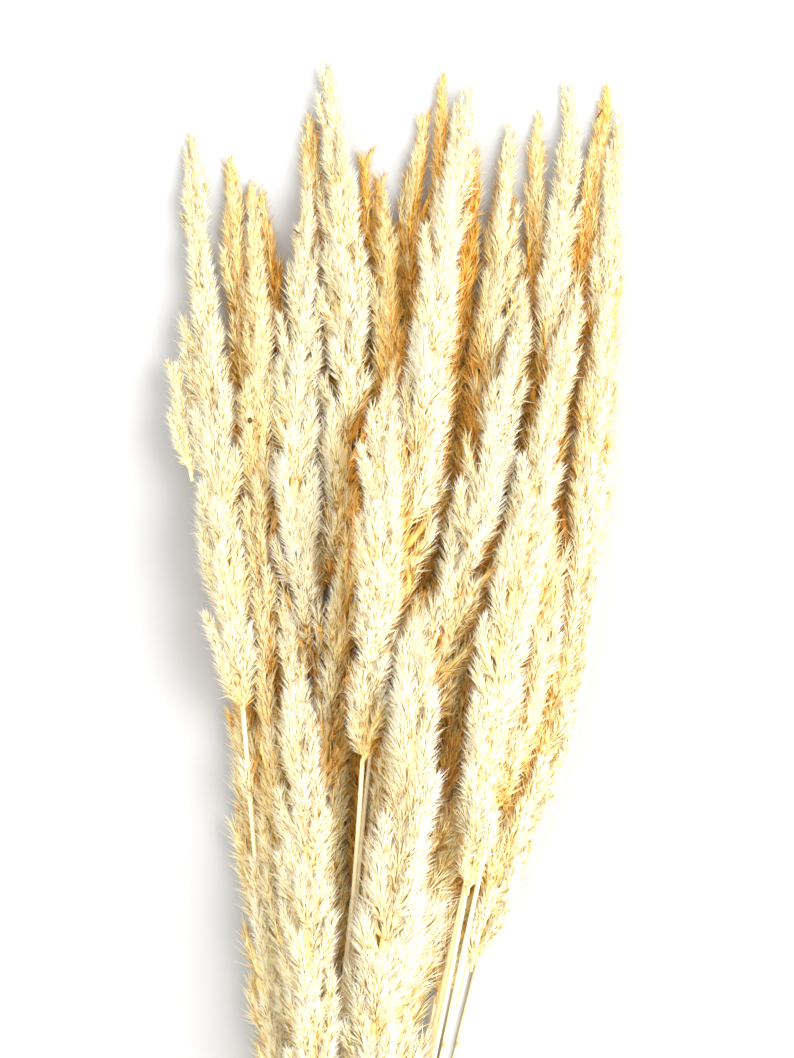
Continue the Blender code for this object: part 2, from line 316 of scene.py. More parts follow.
# %% [markdown]
# ## Shapes to copy
#
# A plume is thousands of hairs, so each hair has to be cheap. A hair here is a long three-sided point, made
# once with `create_cone`: four triangles, closed, with its root at 0 and its tip at 1. It is pressed flat,
# with one broad face and a low keel behind it. Real hairs let light through and so look bright from every
# side. A broad face that is turned to the light does nearly the same for a solid hair.
#
# The core of a lock is a sphere of few faces that is later bent along the lock: the shaded inside of the
# lock, where single hairs can't be told apart. Stalks and straws are profiles spun round an upright line and
# then bent. All are read as arrays, and every copy is those arrays moved, turned and stretched.

# %% Hair, core and spun shapes
HAIR_SIDES = 3
HAIR_FLATNESS = 0.45
HAIR_MERGE = 0.01
CORE_SIDES = 5
CORE_RINGS = 3
HAIR_SPREAD = 0.012
ROOT_SPREAD = 0.03
SPUN_MERGE = 1e-6


def as_arrays(shape):
    """Corners and triangles of a bmesh, which is used up."""
    bmesh.ops.triangulate(shape, faces=shape.faces)
    shape.verts.ensure_lookup_table()
    corners = np.array([corner.co for corner in shape.verts])
    triangles = np.array([[corner.index for corner in face.verts] for face in shape.faces])
    shape.free()
    return corners, triangles


def hair_shape():
    cone = bmesh.new()
    bmesh.ops.create_cone(cone, cap_ends=True, segments=HAIR_SIDES, radius1=0.5, radius2=0, depth=1)
    bmesh.ops.remove_doubles(cone, verts=cone.verts, dist=HAIR_MERGE)
    bmesh.ops.translate(cone, verts=cone.verts, vec=(0, 0, 0.5))
    bmesh.ops.rotate(cone, verts=cone.verts, matrix=Matrix.Rotation(math.pi, 3, "Z"))
    bmesh.ops.scale(cone, verts=cone.verts, vec=(1, HAIR_FLATNESS, 1))
    bmesh.ops.recalc_face_normals(cone, faces=cone.faces)
    return as_arrays(cone)


def core_shape():
    ball = bmesh.new()
    bmesh.ops.create_uvsphere(ball, u_segments=CORE_SIDES, v_segments=CORE_RINGS, radius=0.5)
    bmesh.ops.translate(ball, verts=ball.verts, vec=(0, 0, 0.5))
    return as_arrays(ball)


def spun(rows, sides):
    """A closed shape round the upright line, from rows of (radius, height) that start and end on it."""
    shape = bmesh.new()
    corners = [shape.verts.new((radius, 0, height)) for radius, height in rows]
    edges = [shape.edges.new(pair) for pair in zip(corners, corners[1:])]
    bmesh.ops.spin(shape, geom=corners + edges, axis=(0, 0, 1), cent=(0, 0, 0), angle=math.tau, steps=sides,
                   use_merge=True)
    bmesh.ops.remove_doubles(shape, verts=shape.verts, dist=SPUN_MERGE)
    bmesh.ops.recalc_face_normals(shape, faces=shape.faces)
    return shape


HAIR, HAIR_FACES = hair_shape()
CORE, CORE_FACES = core_shape()
HAIR_TONES = HAIR_SPREAD * np.sign(np.round(HAIR[:, 0], 3))
HAIR_HEIGHTS = np.where(HAIR[:, 2] > 0.5, 1.0, ROOT_SPREAD * (HAIR[:, 1] > 0))
print("a hair has", len(HAIR_FACES), "triangles and a core", len(CORE_FACES))

# %% [markdown]
# ## A pile of copies
#
# Copies are collected as arrays of corners, triangles and one map place for each corner, and joined in
# one mesh at the end. The map has a meaning instead of an unwrapped layout: across it runs the tone, from
# the palest hair to the most golden and last to the brown of a dead husk, and up it runs the place on a
# hair, from root to tip. A colour that only depends on these two is the same wherever two hairs share a
# spot of the map.

# %% Joining copies in one mesh
MAP = "OFBake"
TONES = (0.02, 0.93)
HUSK_TONE = 0.98


class Pile:
    """Corners, triangles and map places of many copies."""

    def __init__(self):
        self.corners, self.faces, self.places, self.count = [], [], [], 0

    def add(self, corners, faces, tones, heights):
        """corners has a row of corners for each copy, and tones and heights a value for each corner."""
        copies, each = corners.shape[:2]
        starts = self.count + each * np.arange(copies)
        self.corners.append(corners.reshape(-1, 3))
        self.faces.append((faces[None] + starts[:, None, None]).reshape(-1, 3))
        self.places.append(np.stack(np.broadcast_arrays(tones, heights), axis=-1).reshape(-1, 2))
        self.count += copies * each

    def object(self, name, material):
        corners, faces, places = (np.concatenate(part) for part in (self.corners, self.faces, self.places))
        data = bpy.data.meshes.new(name)
        data.vertices.add(len(corners))
        data.vertices.foreach_set("co", corners.astype(np.float32).ravel())
        data.loops.add(faces.size)
        data.loops.foreach_set("vertex_index", faces.astype(np.int32).ravel())
        data.polygons.add(len(faces))
        data.polygons.foreach_set("loop_start", np.arange(0, faces.size, 3, dtype=np.int32))
        layer = data.uv_layers.new(name=MAP)
        layer.data.foreach_set("uv", places[faces].astype(np.float32).ravel())
        data.update(calc_edges=True)
        data.materials.append(material)
        return link(bpy.data.objects.new(name, data))


# %% [markdown]
# ## Locks
#
# A plume of this grass is a bundle of side branches that all leave the middle stalk upwards at a narrow
# angle and then run beside it. Each side branch carries hairs all round and all along, so it looks like a
# slim pointed brush, and the plume looks like overlapping brushes. A lock here has one curved line: it
# starts on the stalk, swings out, and runs on almost parallel to it. Locks follow each other round the
# stalk by the golden angle, so no two neighbours line up, and each one sways a little from its place.
# Every fourth one stays close to the stalk and fills the plume from within. It is painted more golden, which
# is painted shade deep in the plume.
#
# The straw of the left-most reed lies on the plume beside it, and only shows in two short stretches. Along
# the rest of it that plume's upper locks lie over the straw.

# %% Lock lines
GOLDEN_ANGLE = math.pi * (3 - math.sqrt(5))
LOCK_LENGTH = 28 * MM
LOCK_LENGTHS = (0.7, 1.2)
LEAST_LOCK = 9 * MM
LEAST_LOCKS = 7
LOCK_EVERY = 3.1 * MM
LOCK_PLACES = (0.2, 0.8)
LOCK_TURN_SPREAD = 0.25
LOCK_TONE_SPREAD = 0.06
LOCK_SIZES = (0.35, 1.25)
WIDTH_AHEAD = 4 * MM
REACHES = (0.9, 1.12)
INNER_EVERY = 4
INNER_OUT = 0.35
INNER_SHADE_TONE = 0.12
LOCK_SWAY = 1.1 * MM
LOCK_FLARE = (0.85, 1.3)
LOCK_BEND = 0.35
LEAST_OUT = 0.2
LEAST_REACH = 3.6 * MM
HAIR_LENGTH = 9.5 * MM
HAIR_SHARE = 0.55
HAIR_REACH = 0.5
HAIR_BEYOND = 2.3 * MM
FULL_PLUME = 10 * MM
LONGEST_HAIR = 1.2
OVER_STRAW = {"plume_05": ("stem_01", ((-22 * MM, -13 * MM), (-260 * MM, -68 * MM)))}
OVER_FROM = 0.1
OVER_HEIGHT = 3.2 * MM


class Locks:
    """The curved lines of all locks of a plume, and how far they reach from it."""

    def __init__(self, name, rng):
        way = ways[name]
        span = way.high - way.low
        self.count = count = max(LEAST_LOCKS, round(span / LOCK_EVERY))
        order = (np.arange(count) + rng.uniform(*LOCK_PLACES, count)) / count
        start = way.low + order * (span - LEAST_LOCK)
        room = way.high - start
        length = LOCK_LENGTH * rng.uniform(*LOCK_LENGTHS, count)
        self.length = np.clip(length, None, LOCK_BEND * room + LEAST_LOCK)
        angle = GOLDEN_ANGLE * np.arange(count) + rng.normal(0, LOCK_TURN_SPREAD, count)
        side, up = axes_beside(way.forward(start))
        self.outwards = side * np.cos(angle)[:, None] + up * np.sin(angle)[:, None]
        end = start + self.length
        width = way.half_width(np.minimum(end + WIDTH_AHEAD, way.high))
        self.reach = np.maximum(LEAST_REACH, width * rng.uniform(*REACHES, count) + HAIR_BEYOND)
        fullness = np.clip(width / FULL_PLUME, 0, LONGEST_HAIR)
        self.hair = HAIR_LENGTH * (HAIR_SHARE + (1 - HAIR_SHARE) * fullness)
        inner = np.arange(count) % INNER_EVERY == 0
        out = np.maximum(LEAST_OUT * self.reach, self.reach - HAIR_REACH * self.hair)[:, None]
        out *= np.where(inner, INNER_OUT, 1)[:, None]
        flare = rng.uniform(*LOCK_FLARE, count)[:, None]
        self.points = np.stack((
            way.at(start),
            way.at(start + LOCK_BEND * self.length) + self.outwards * out,
            way.at(end) + self.outwards * out * flare,
        ))
        if name in OVER_STRAW:
            self.lay_over(*OVER_STRAW[name])
        self.points[1:] += rng.normal(0, LOCK_SWAY, (2, count, 3))
        # Inner locks are painted more golden: painted shade deep in the plume.
        self.tone = rng.normal(0, LOCK_TONE_SPREAD, count) + INNER_SHADE_TONE * inner
        self.size = np.clip(self.reach / FULL_PLUME, *LOCK_SIZES)
        self.cover = covered(self.points[1], name)

    def lay_over(self, node, stretches):
        """Lays the upper locks on top of a straw where their bends are in these stretches along it."""
        bends = self.points[1, :, 1]
        for low, high in stretches:
            chosen = (bends > low) & (bends < high) & (self.outwards[:, 2] > OVER_FROM)
            for row in self.points[1:]:
                row[chosen] = ways[node].at(row[chosen, 1]) + (0, 0, OVER_HEIGHT)

    def at(self, lock, share):
        """The place on each lock's line, and the direction there, at this share of its length."""
        share = share[:, None]
        first, bend, last = self.points[:, lock]
        place = (1 - share) ** 2 * first + 2 * share * (1 - share) * bend + share ** 2 * last
        forward = unit(2 * (1 - share) * (bend - first) + 2 * share * (last - bend))
        return place, forward


# %% [markdown]
# ## Many copies at once
#
# All copies of a shape are placed in one sum on arrays. Each copy has a root, three directions, a width and a
# length. The underside of a plume that rests on the table is pressed softly flat, so no hair goes through the
# table.

# %% Placing and pressing
PRESS = 1.6 * MM


def pressed(corners):
    """Corners near the table are pressed together above it."""
    low = corners[..., 2]
    corners[..., 2] = np.where(low < PRESS, PRESS * np.exp(np.minimum(low / PRESS - 1, 0)), low)
    return corners


def placed(shape, root, side, up, forward, width, length):
    """Copies of a straight shape, one for each root."""
    x, y, z = (shape[None, :, axis, None] for axis in range(3))
    wide, long = width[:, None, None], length[:, None, None]
    return root[:, None] + side[:, None] * x * wide + up[:, None] * y * wide + forward[:, None] * z * long


# %% [markdown]
# ## The core of a lock
#
# Between its hairs a lock looks solid, because hairs hide hairs. A ball of few faces is bent along the lock's
# line for that. Its golden colour, like that of the hairs' lower halves, is painted shade for the shaded
# inside of the lock, and more of it is painted where other plumes lie over it.

# %% Cores
CORE_WIDTH = 3.3 * MM
CORE_TONE = 0.2
CORE_HEIGHT = 0.28
CORE_HEIGHT_ALONG = 0.2
MAP_SPREAD = 0.05
COVER_SHADE = 0.92


def add_cores(pile, locks, tone):
    lock = np.repeat(np.arange(locks.count), len(CORE))
    share = np.tile(CORE[:, 2], locks.count)
    place, forward = locks.at(lock, share)
    side, up = axes_beside(forward)
    width = (CORE_WIDTH * locks.size)[lock, None]
    place += (side * np.tile(CORE[:, 0], locks.count)[:, None]
              + up * np.tile(CORE[:, 1], locks.count)[:, None]) * width
    shape = (locks.count, len(CORE))
    # Painted shade: the core is painted more golden where other plumes lie over it.
    cover = locks.cover * painted_shade_along(locks.points[1, :, 1])
    own = (tone + locks.tone + COVER_SHADE * cover)[:, None] + CORE_TONE * CORE[:, 0]
    heights = CORE_HEIGHT + CORE_HEIGHT_ALONG * share.reshape(shape) + MAP_SPREAD * CORE[:, 1]
    pile.add(pressed(place.reshape(*shape, 3)), CORE_FACES, np.clip(own, *TONES), heights)


# %% [markdown]
# ## Hairs on a lock
#
# Hairs sit all round a lock's core, most of them on its outer and upper side, and lean towards its tip. They
# lean widely at the lock's base and less at its end, where they make a blunt brush. A few stray hairs stand
# out much more. Near the tip of a plume the hairs are shorter, so it stays slim there. More of them grow
# where they show, on the upper side and in the open, and fewer but longer ones where other plumes cover
# them.
#
# A hair's tone adds up from its plume, its lock and a little chance, and from painted shade: a hair is
# painted more golden the nearer to its lock's base it grows, the further down its plume and the more under
# other plumes it lies. More hairs grow near a lock's tip than near its base.

# %% Hairs
HAIRS_PER_LOCK_MM = 4.4
UPPER_SIDE = 0.6
COVERED_LESS = 0.55
COVERED_LONGER = 0.35
HAIR_PLACES = (0.08, 1.0)
CROWDED_END = 0.85
ROOT_OUT = 0.3
FAN_OUT = 0.5
FAN_UP = 0.3
LEAN_BASE = math.radians(44)
LEAN_TIP = math.radians(30)
LEAN_CHANGE = (0.3, 1.25)
STRAY_SHARE = 0.015
STRAY_LEAN = 1.9
HAIR_LENGTHS = (0.65, 1.2)
HAIR_SHORTENS = (1.1, 0.25)
HAIR_WIDTH = 0.7 * MM
HAIR_WIDTHS = (0.7, 1.2)
THIN_TO = 0.5
TURN_UP = 1.3
TURN_SPREAD = 0.25
LOCK_SHADE = 0.26
LOCK_SHADE_TO = 0.6
FLANK_SHADE = 0.58
HAIR_TONE_SPREAD = 0.08


def add_hairs(pile, locks, tone, name, rng):
    weight = locks.length / MM * locks.size * (1 + UPPER_SIDE * locks.outwards[:, 2])
    weight *= 1 - COVERED_LESS * locks.cover
    hairs = round(HAIRS_PER_LOCK_MM * weight.sum())
    lock = rng.choice(locks.count, hairs, p=weight / weight.sum())
    share = rng.uniform(*HAIR_PLACES, hairs) ** CROWDED_END
    root, forward = locks.at(lock, share)
    side, up = axes_beside(forward)
    turn = rng.uniform(0, math.tau, hairs)
    outwards = side * np.cos(turn)[:, None] + up * np.sin(turn)[:, None]
    outwards = unit(outwards + FAN_OUT * locks.outwards[lock] + (0.0, 0.0, FAN_UP))
    root += outwards * (ROOT_OUT * CORE_WIDTH * locks.size[lock] * np.sin(math.pi * share))[:, None]
    lean = (LEAN_BASE + (LEAN_TIP - LEAN_BASE) * share) * rng.uniform(*LEAN_CHANGE, hairs)
    lean *= np.where(rng.random(hairs) < STRAY_SHARE, STRAY_LEAN, 1)
    direction = unit(forward * np.cos(lean)[:, None] + outwards * np.sin(lean)[:, None])
    shortening = HAIR_SHORTENS[0] - HAIR_SHORTENS[1] * share
    length = locks.hair[lock] * shortening * rng.uniform(*HAIR_LENGTHS, hairs)
    length *= 1 + COVERED_LONGER * locks.cover[lock]
    thickness = np.sqrt(np.maximum(locks.size[lock], THIN_TO))
    width = HAIR_WIDTH * rng.uniform(*HAIR_WIDTHS, hairs) * thickness
    facing = outwards + (0.0, 0.0, TURN_UP) + rng.normal(0, TURN_SPREAD, (hairs, 3))
    side = unit(np.cross(direction, facing))
    corners = placed(HAIR, root, side, np.cross(side, direction), direction, width, length)
    # Painted shade: hairs near a lock's base, low on their plume's flanks and under other plumes are painted
    # more golden.
    own = tone[lock] + locks.tone[lock] + LOCK_SHADE * (LOCK_SHADE_TO - share)
    own += rng.normal(0, HAIR_TONE_SPREAD, hairs)
    tips = root + direction * length[:, None]
    own += COVER_SHADE * covered(tips, name) * painted_shade_along(tips[:, 1])
    own += FLANK_SHADE * flank(tips, ways[name])
    tones = np.clip(own, *TONES)[:, None] + HAIR_TONES
    pile.add(pressed(corners), HAIR_FACES, tones, HAIR_HEIGHTS)


# %% [markdown]
# ## Stalk and inner body
#
# Between the locks one looks into the fluff near the stalk, where single hairs can't be told apart either. It
# is one slim body along the middle line, painted golden: a golden shape put where there is only shade, so its
# colour is painted shade. The stalk itself only shows at the plume's base. Both are spun profiles, bent to
# the middle line.

# %% Stalk and body
STALK_SIDES = 6
STALK_RADII = (0.9 * MM, 0.25 * MM)
STALK_HEIGHT = 0.2
SPUN_TONE = 0.1
BODY_SIDES = 10
BODY_SHARE = 0.22
BODY_FROM = 14 * MM
BODY_ENDS = (0.04, 0.96)
BODY_SHADE_TONE = 0.3


def add_spun(pile, way, heights, radii, sides, tone):
    """A closed body spun round the middle line."""
    rows = [(0, heights[0]), *zip(radii, heights), (0, heights[-1])]
    corners, faces = as_arrays(spun(rows, sides))
    tones = tone + SPUN_TONE * np.sign(corners[:, 0])
    up_map = STALK_HEIGHT + MAP_SPREAD * np.sign(corners[:, 1])
    places = pressed(way.bend(corners)[None])
    pile.add(places, faces, np.clip(tones, *TONES), up_map)


def add_stalk_and_body(pile, way, tone):
    """The thin stalk in the middle, and round it the fluff that is seen between the locks."""
    heights = way.along - way.low
    add_spun(pile, way, heights, np.interp(heights, (0, heights[-1]), STALK_RADII), STALK_SIDES, tone)
    inner = heights[(heights > BODY_FROM) & (heights < heights[-1] - BODY_FROM)]
    swell = np.sqrt(np.sin(math.pi * np.linspace(*BODY_ENDS, len(inner))))
    girth = BODY_SHARE * way.half_width(way.low + inner) * swell
    # The body's extra golden tone is painted shade between the locks.
    add_spun(pile, way, inner, girth, BODY_SIDES, tone + BODY_SHADE_TONE)


# %% [markdown]
# ## One plume
#
# Cores, stalk, body and hairs of a plume go on one pile. A plume whose tip has another colour than its base
# changes late, in its upper part, so the change follows a cube.

# %% Growing a plume
TIP_TURN = 3


def grow_plume(name, golden, tip_golden, longer, rng):
    """All hair of one plume. Its tone is given at its base and at its tip."""
    way = ways[name]
    locks = Locks(name, rng)
    locks.hair *= longer
    share = (locks.points[2, :, 1] - way.low) / (way.high - way.low)
    tone = golden + (tip_golden - golden) * np.clip(share, 0, 1) ** TIP_TURN
    pile = Pile()
    add_cores(pile, locks, tone)
    add_stalk_and_body(pile, way, golden)
    add_hairs(pile, locks, tone, name, rng)
    return pile


# %% [markdown]
# ## Hair colour
#
# Pale hair is nearly white at its tip, cream in the middle and golden at its root; the golden root is partly
# the hair's colour and partly painted shade deep among the hairs. Straw yellow hair is partly plumes of a
# more golden colour and partly painted shade, and the strong orange is painted shade deep in the bunch. A
# colour ramp for each of the three runs along the hair, and the tone blends from the first to the second and
# on to the third. The last narrow strip of the map is the brown of dead husks. The colour is a node group, so
# that both finishes of the bunch share it, and the surface stays in each material: the golden finish is
# duller and a shade deeper.

# %% Hair colour and materials
# The golden roots are partly the hair's colour and partly painted shade among the hairs.
PALE_STOPS = ((0.0, (0.99, 0.62, 0.15)), (0.3, (0.994, 0.86, 0.47)), (0.65, (0.997, 0.965, 0.81)),
              (1.0, (0.998, 0.985, 0.91)))
GOLDEN_STOPS = ((0.0, (0.99, 0.58, 0.11)), (0.4, (0.985, 0.79, 0.33)), (1.0, (0.975, 0.9, 0.59)))
# Painted shade: the strong orange of hair deep in the bunch.
DEEP_SHADE_STOPS = ((0.0, (0.97, 0.36, 0.015)), (0.4, (0.975, 0.52, 0.06)), (1.0, (0.97, 0.77, 0.31)))
GOLDEN_AT = 0.6
DEEP_SHADE_AT = 0.92
HUSK_COLOUR = (0.1, 0.045, 0.02)
HUSK_FROM = 0.955
HAIR_SPECULAR = 0.3
CREAM_ROUGHNESS = 0.5
GOLDEN_ROUGHNESS = 0.6
GOLDEN_DEEPER = 0.04


def new_group(name, inputs, output):
    """A node group with number inputs and one output, and its inner ends."""
    tree = bpy.data.node_groups.new(name, "ShaderNodeTree")
    for socket, value in inputs:
        made = tree.interface.new_socket(socket, in_out="INPUT", socket_type="NodeSocketFloat")
        made.default_value = value
    tree.interface.new_socket(output[0], in_out="OUTPUT", socket_type=output[1])
    return tree, tree.nodes.new("NodeGroupInput"), tree.nodes.new("NodeGroupOutput")


def ramp(tree, stops):
    made = tree.nodes.new("ShaderNodeValToRGB")
    elements = made.color_ramp.elements
    elements[0].position, elements[-1].position = stops[0][0], stops[-1][0]
    for position, _ in stops[1:-1]:
        elements.new(position)
    for element, (_, colour) in zip(elements, stops):
        element.color = (*colour, 1)
    return made


def math_node(tree, operation, first, second):
    """One calculation with two values, each a socket or a number."""
    made = tree.nodes.new("ShaderNodeMath")
    made.operation = operation
    for socket, value in zip(made.inputs, (first, second)):
        if isinstance(value, (int, float)):
            socket.default_value = value
        else:
            tree.links.new(value, socket)
    return made.outputs[0]


def colour_mix(tree, factor, first, second):
    made = tree.nodes.new("ShaderNodeMix")
    made.data_type = "RGBA"
    tree.links.new(factor, made.inputs["Factor"])
    for socket, value in (("A", first), ("B", second)):
        if isinstance(value, tuple):
            made.inputs[socket].default_value = (*value, 1)
        else:
            tree.links.new(value, made.inputs[socket])
    return made.outputs["Result"]


def map_place(tree):
    """The two values of the map: across and up."""
    place = tree.nodes.new("ShaderNodeUVMap")
    place.uv_map = MAP
    split = tree.nodes.new("ShaderNodeSeparateXYZ")
    tree.links.new(place.outputs["UV"], split.inputs["Vector"])
    return split.outputs["X"], split.outputs["Y"]


hair_colour, given, result = new_group("hair_colour", [("Deepen", 0.0)], ("Colour", "NodeSocketColor"))
tone, height = map_place(hair_colour)
pale, golden, deep_shade = (ramp(hair_colour, stops) for stops in (PALE_STOPS, GOLDEN_STOPS, DEEP_SHADE_STOPS))
for one_ramp in (pale, golden, deep_shade):
    hair_colour.links.new(height, one_ramp.inputs["Fac"])
deeper = math_node(hair_colour, "ADD", tone, given.outputs["Deepen"])
to_golden = math_node(hair_colour, "DIVIDE", deeper, GOLDEN_AT)
past_golden = math_node(hair_colour, "SUBTRACT", deeper, GOLDEN_AT)
to_deep_shade = math_node(hair_colour, "DIVIDE", past_golden, DEEP_SHADE_AT - GOLDEN_AT)
blend = colour_mix(hair_colour, to_golden, pale.outputs["Color"], golden.outputs["Color"])
blend = colour_mix(hair_colour, to_deep_shade, blend, deep_shade.outputs["Color"])
is_husk = math_node(hair_colour, "GREATER_THAN", tone, HUSK_FROM)
hair_colour.links.new(colour_mix(hair_colour, is_husk, blend, HUSK_COLOUR), result.inputs["Colour"])


def hair_material(name, roughness, deepen):
    made, surface, nodes, links = new_material(name, roughness)
    surface.inputs["Specular IOR Level"].default_value = HAIR_SPECULAR
    colour = nodes.new("ShaderNodeGroup")
    colour.node_tree = hair_colour
    colour.inputs["Deepen"].default_value = deepen
    links.new(colour.outputs["Colour"], surface.inputs["Base Color"])
    return made


hair_looks = {"plume_cream": hair_material("pampas_cream", CREAM_ROUGHNESS, 0.0),
              "plume_golden": hair_material("pampas_golden", GOLDEN_ROUGHNESS, GOLDEN_DEEPER)}
print("hair finishes:", list(hair_looks))

# %% [markdown]
# ## All plumes
#
# Each plume gets its own tone: the outer ones are palest, and the ones that lie at the back are more golden,
# partly a colour that the plumes have and partly painted shade. Three of them have ochre tips, which are
# partly painted shade too. The hair of a few plumes is longer and silkier. The side branch of the left-most
# plume is a small plume of its own. Two dark husks and a round speck of a seed are caught in the hair: each
# is a core shape, laid on the plume that lies uppermost at its place.

# %% Plumes
SEED = 20
# Each plume's tone is partly its own colour and partly painted shade: plumes lying at the back are more
# golden.
GOLDEN_SHARES = (.1, .32, .32, .26, .1, .1, .04, .06, .25, .1, .04, .36, .36, .04, .32, .36, .06, .4, .2,
                 .05, .36, .12, .08, .34, .12, 0, .04, .02, .06)
OCHRE_TIPS = {"plume_16": 0.62, "plume_24": 0.64, "plume_02": 0.46}
LONG_HAIR = {"plume_05": 1.05, "plume_06": 1.05, "plume_28": 1.3, "plume_29": 1.35}
HUSK_ABOVE = 2.5
HUSK_TILT = 0.15
HUSKS = ((-50.5, 269.0, 5.5, 0.8, -34), (102.5, 329.6, 7.5, 0.9, 56), (-73.5, 174.0, 3.4, 2.8, 80))


def uppermost(x, y):
    """The plume that lies uppermost at a place, and the height of its upper side there."""
    heights = {}
    for name in PLUMES:
        way = ways[name]
        line, half = way.at(y), way.half_width(y)
        beside = abs(x - line[0])
        if way.low < y < way.high and beside < half + COVER_EDGE:
            heights[name] = line[2] + math.sqrt(max(0, half ** 2 - beside ** 2)) - max(0, beside - half)
    return max(heights.items(), key=lambda item: item[1])


def add_husks(pile, name):
    """The husks that lie on this plume, each given by its place, length, width and turn."""
    for x, y, length, width, turn in HUSKS:
        plume, height = uppermost(x * MM, y * MM)
        if plume == name:
            forward = np.array([[math.cos(math.radians(turn)), math.sin(math.radians(turn)), HUSK_TILT]])
            side, up = axes_beside(forward)
            place = np.array([[x, y, height / MM + HUSK_ABOVE]]) * MM - forward * length * MM / 2
            corners = placed(CORE, place, side, up, forward, np.array([width * MM]), np.array([length * MM]))
            pile.add(corners, CORE_FACES, HUSK_TONE, CORE[:, 2])


def finish(piece, node):
    """Puts a finished piece under the root body, hides the node that it stands for, and gives the piece's
    face count.
    """
    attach(piece, "root")
    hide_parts(node)
    return len(piece.data.polygons)


triangles = 0
for number, name in enumerate((*PLUMES, "side_branch")):
    rng = np.random.default_rng(SEED + number)
    share = GOLDEN_SHARES[number % len(PLUMES)]
    pile = grow_plume(name, share, OCHRE_TIPS.get(name, share), LONG_HAIR.get(name, 1), rng)
    add_husks(pile, name)
    triangles += finish(pile.object(name + "_hair", hair_looks[SLOTS[name]]), name)
print("plume triangles:", triangles)

# %% [markdown]
# ## Straws
#
# A straw is the dried stem of the grass: a slim tube, smooth and slightly shiny, cut off hollow at its lower
# end. Every ten centimetres or so it has a joint, a thin swelling with a darker ring. Above each joint a dry
# leaf sheath wraps the straw for a while and ends with a small step. One profile holds all of this. It is
# spun round an upright line and bent along the stem. At its upper end it runs a little way into the plume.

# %% Straw shape
STRAW_SIDES = 12
STRAW_RADII = (1.6 * MM, 1.15 * MM)
HOLLOW = 0.62
HOLLOW_DEPTH = 12 * MM
RIM = 0.25 * MM
INTO_PLUME = 3 * MM
FIRST_JOINT = (40 * MM, 110 * MM)
JOINT_EVERY = (85 * MM, 150 * MM)
JOINT_SWELLING = 0.2 * MM
JOINT_HALF = 1.3 * MM
JOINT_BELOW = 2 * MM
JOINT_ABOVE = 3 * MM
JOINT_LEAST = 20 * MM
SHEATH_LENGTH = (45 * MM, 80 * MM)
SHEATH_THICKNESS = 0.16 * MM
SHEATH_STEP = 0.5 * MM
SHEATH_FADES = 2 * MM
PROFILE_STEP = 24 * MM
PROFILE_CLEAR = 5 * MM
SAMPLE_LENGTH = 300 * MM


def straw_rows(length, rng):
    """The profile as (radius, height, darkness), from the bottom of the hollow out over the rim and up."""
    def radius(height):
        return np.interp(height, (0, length), STRAW_RADII)

    bore = HOLLOW * STRAW_RADII[0]
    # The inside of the hollow is painted darker towards its bottom: painted shade.
    rows = [(0, HOLLOW_DEPTH, 1), (bore, HOLLOW_DEPTH, 1), (bore, RIM, 0.6), (bore + RIM / 2, 0, 0.2),
            (radius(0) - RIM, 0, 0.2), (radius(0), RIM, 0.1)]
    joint = rng.uniform(*FIRST_JOINT)
    reached = RIM
    while joint < length - SHEATH_LENGTH[1] - JOINT_HALF:
        for height in np.arange(reached + PROFILE_STEP, joint - JOINT_HALF - PROFILE_CLEAR, PROFILE_STEP):
            rows.append((radius(height), height, 0))
        sheath = joint + rng.uniform(*SHEATH_LENGTH)
        sheathed = radius(joint) + SHEATH_THICKNESS
        rows += [(radius(joint), joint - JOINT_HALF - JOINT_BELOW, 0),
                 (radius(joint), joint - JOINT_HALF, 0.5),
                 (radius(joint) + JOINT_SWELLING, joint, 0.8),
                 (sheathed, joint + JOINT_HALF, 0.35),
                 (sheathed, joint + JOINT_HALF + JOINT_ABOVE, 0.12),
                 (radius(sheath) + SHEATH_THICKNESS, sheath, 0.12),
                 (radius(sheath), sheath + SHEATH_STEP, 0.3),
                 (radius(sheath), sheath + SHEATH_STEP + SHEATH_FADES, 0)]
        reached = sheath + SHEATH_STEP + SHEATH_FADES
        joint = max(joint + rng.uniform(*JOINT_EVERY), reached + JOINT_LEAST)
    for height in np.arange(reached + PROFILE_STEP, length - PROFILE_CLEAR, PROFILE_STEP):
        rows.append((radius(height), height, 0))
    return [*rows, (radius(length), length, 0), (0, length, 0)]


def straw_map(shape, rows, layer_name):
    """Lays out the map: once round the straw across, and along the profile up."""
    run = np.concatenate(([0], np.cumsum([math.dist(one[:2], two[:2]) for one, two in zip(rows, rows[1:])])))
    places = {(round(radius / MM, 2), round(height / MM, 2)): at / run[-1]
              for (radius, height, _), at in zip(rows, run)}
    layer = shape.loops.layers.uv.new(layer_name)
    for face in shape.faces:
        middle = face.calc_center_median()
        turned = math.atan2(middle.y, middle.x) % math.tau
        for loop in face.loops:
            x, y, z = loop.vert.co
            radius = math.hypot(x, y)
            beside = math.remainder(math.atan2(y, x) - turned, math.tau) if radius > RIM / 10 else 0
            loop[layer].uv = ((turned + beside) / math.tau, places[round(radius / MM, 2), round(z / MM, 2)])


rows = straw_rows(SAMPLE_LENGTH, np.random.default_rng(SEED))
print("a straw's profile has", len(rows), "points")

# %% [markdown]
# ## Straw finish
#
# Dried straw is pale yellow with fine darker fibres that run along it, a little shiny where it is smooth.
# The fibres are noise on a cylinder: the map's way round is turned into a circle, so no seam shows, and the
# way along is stretched. The joints and the rim are darker, and the inside of the cut darkens towards the
# bottom of the hollow, which is painted shade; the profile wrote all of this into an attribute of the mesh. A
# second attribute gives each straw its own tone.

# %% Straw material
STRAW_PALE = (0.95, 0.87, 0.62)
STRAW_DEEP = (0.86, 0.66, 0.31)
STRAW_DARK = (0.36, 0.2, 0.07)
FIBRE_ROUND = 4.5
FIBRE_ALONG = 6.0
FIBRE_BUMP = 0.15
FIBRE_BUMP_HEIGHT = 0.1 * MM
FIBRE_DETAIL = 3.0
STRAW_ROUGHNESS = 0.42


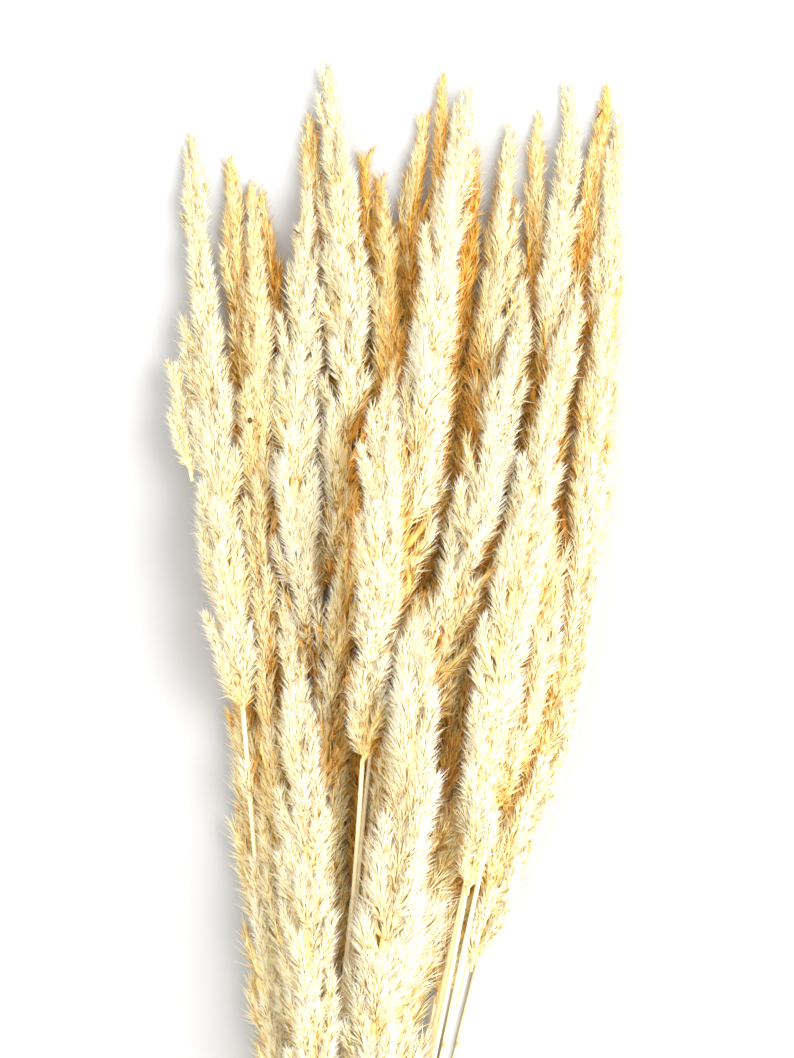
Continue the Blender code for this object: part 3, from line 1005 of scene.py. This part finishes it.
def straw_material():
    made, surface, nodes, links = new_material("pampas_straw", STRAW_ROUGHNESS)
    tree = made.node_tree
    around, along = map_place(tree)
    angle = math_node(tree, "MULTIPLY", around, math.tau)
    circle = nodes.new("ShaderNodeCombineXYZ")
    for socket, operation in (("X", "COSINE"), ("Y", "SINE")):
        turned = math_node(tree, operation, angle, 0.0)
        links.new(math_node(tree, "MULTIPLY", turned, FIBRE_ROUND), circle.inputs[socket])
    links.new(math_node(tree, "MULTIPLY", along, FIBRE_ALONG), circle.inputs["Z"])
    fibres = nodes.new("ShaderNodeTexNoise")
    fibres.inputs["Scale"].default_value = 1.0
    fibres.inputs["Detail"].default_value = FIBRE_DETAIL
    links.new(circle.outputs["Vector"], fibres.inputs["Vector"])
    attributes = {}
    for name in ("dark", "tone"):
        attributes[name] = nodes.new("ShaderNodeAttribute")
        attributes[name].attribute_name = name
    streaks = math_node(tree, "ADD", fibres.outputs["Fac"], attributes["tone"].outputs["Fac"])
    straw = colour_mix(tree, streaks, STRAW_PALE, STRAW_DEEP)
    shaded = colour_mix(tree, attributes["dark"].outputs["Fac"], straw, STRAW_DARK)
    links.new(shaded, surface.inputs["Base Color"])
    bump = nodes.new("ShaderNodeBump")
    bump.inputs["Strength"].default_value = FIBRE_BUMP
    bump.inputs["Distance"].default_value = FIBRE_BUMP_HEIGHT
    links.new(fibres.outputs["Fac"], bump.inputs["Height"])
    links.new(bump.outputs["Normal"], surface.inputs["Normal"])
    return made


straw_look = straw_material()
print("straw finish:", straw_look.name)

# %% [markdown]
# ## All straws
#
# The profile's darkness is read back by radius and height, before the straw is bent.

# %% Straws
STRAW_TONES = (-0.35, 0.1)
STRAW_SEEDS_FROM = 100
SHARP_ANGLE = math.radians(35)


def make_straw(node, rng):
    way = ways[node]
    rows = straw_rows(way.high - way.low + INTO_PLUME, rng)
    shape = spun([row[:2] for row in rows], STRAW_SIDES)
    straw_map(shape, rows, MAP)
    darkness = {(round(radius / MM, 2), round(height / MM, 2)): dark for radius, height, dark in rows}
    corners = np.array([corner.co for corner in shape.verts])
    keys = zip(np.hypot(corners[:, 0], corners[:, 1]) / MM, corners[:, 2] / MM)
    dark = [darkness[round(float(radius), 2), round(float(height), 2)] for radius, height in keys]
    for corner, place in zip(shape.verts, way.bend(corners)):
        corner.co = place
    piece = mesh_object(node + "_straw", shape, straw_look)
    piece.data.shade_smooth()
    piece.data.set_sharp_from_angle(angle=SHARP_ANGLE)
    for name, values in (("dark", dark), ("tone", [rng.uniform(*STRAW_TONES)] * len(dark))):
        layer = piece.data.attributes.new(name, "FLOAT", "POINT")
        layer.data.foreach_set("value", values)
    return piece


straw_triangles = 0
for number, node in enumerate(STEMS):
    piece = make_straw(node, np.random.default_rng(SEED + STRAW_SEEDS_FROM + number))
    finish(piece, node)
    straw_triangles += sum(len(face.vertices) - 2 for face in piece.data.polygons)
print("straw triangles:", straw_triangles, "and in all:", triangles + straw_triangles)
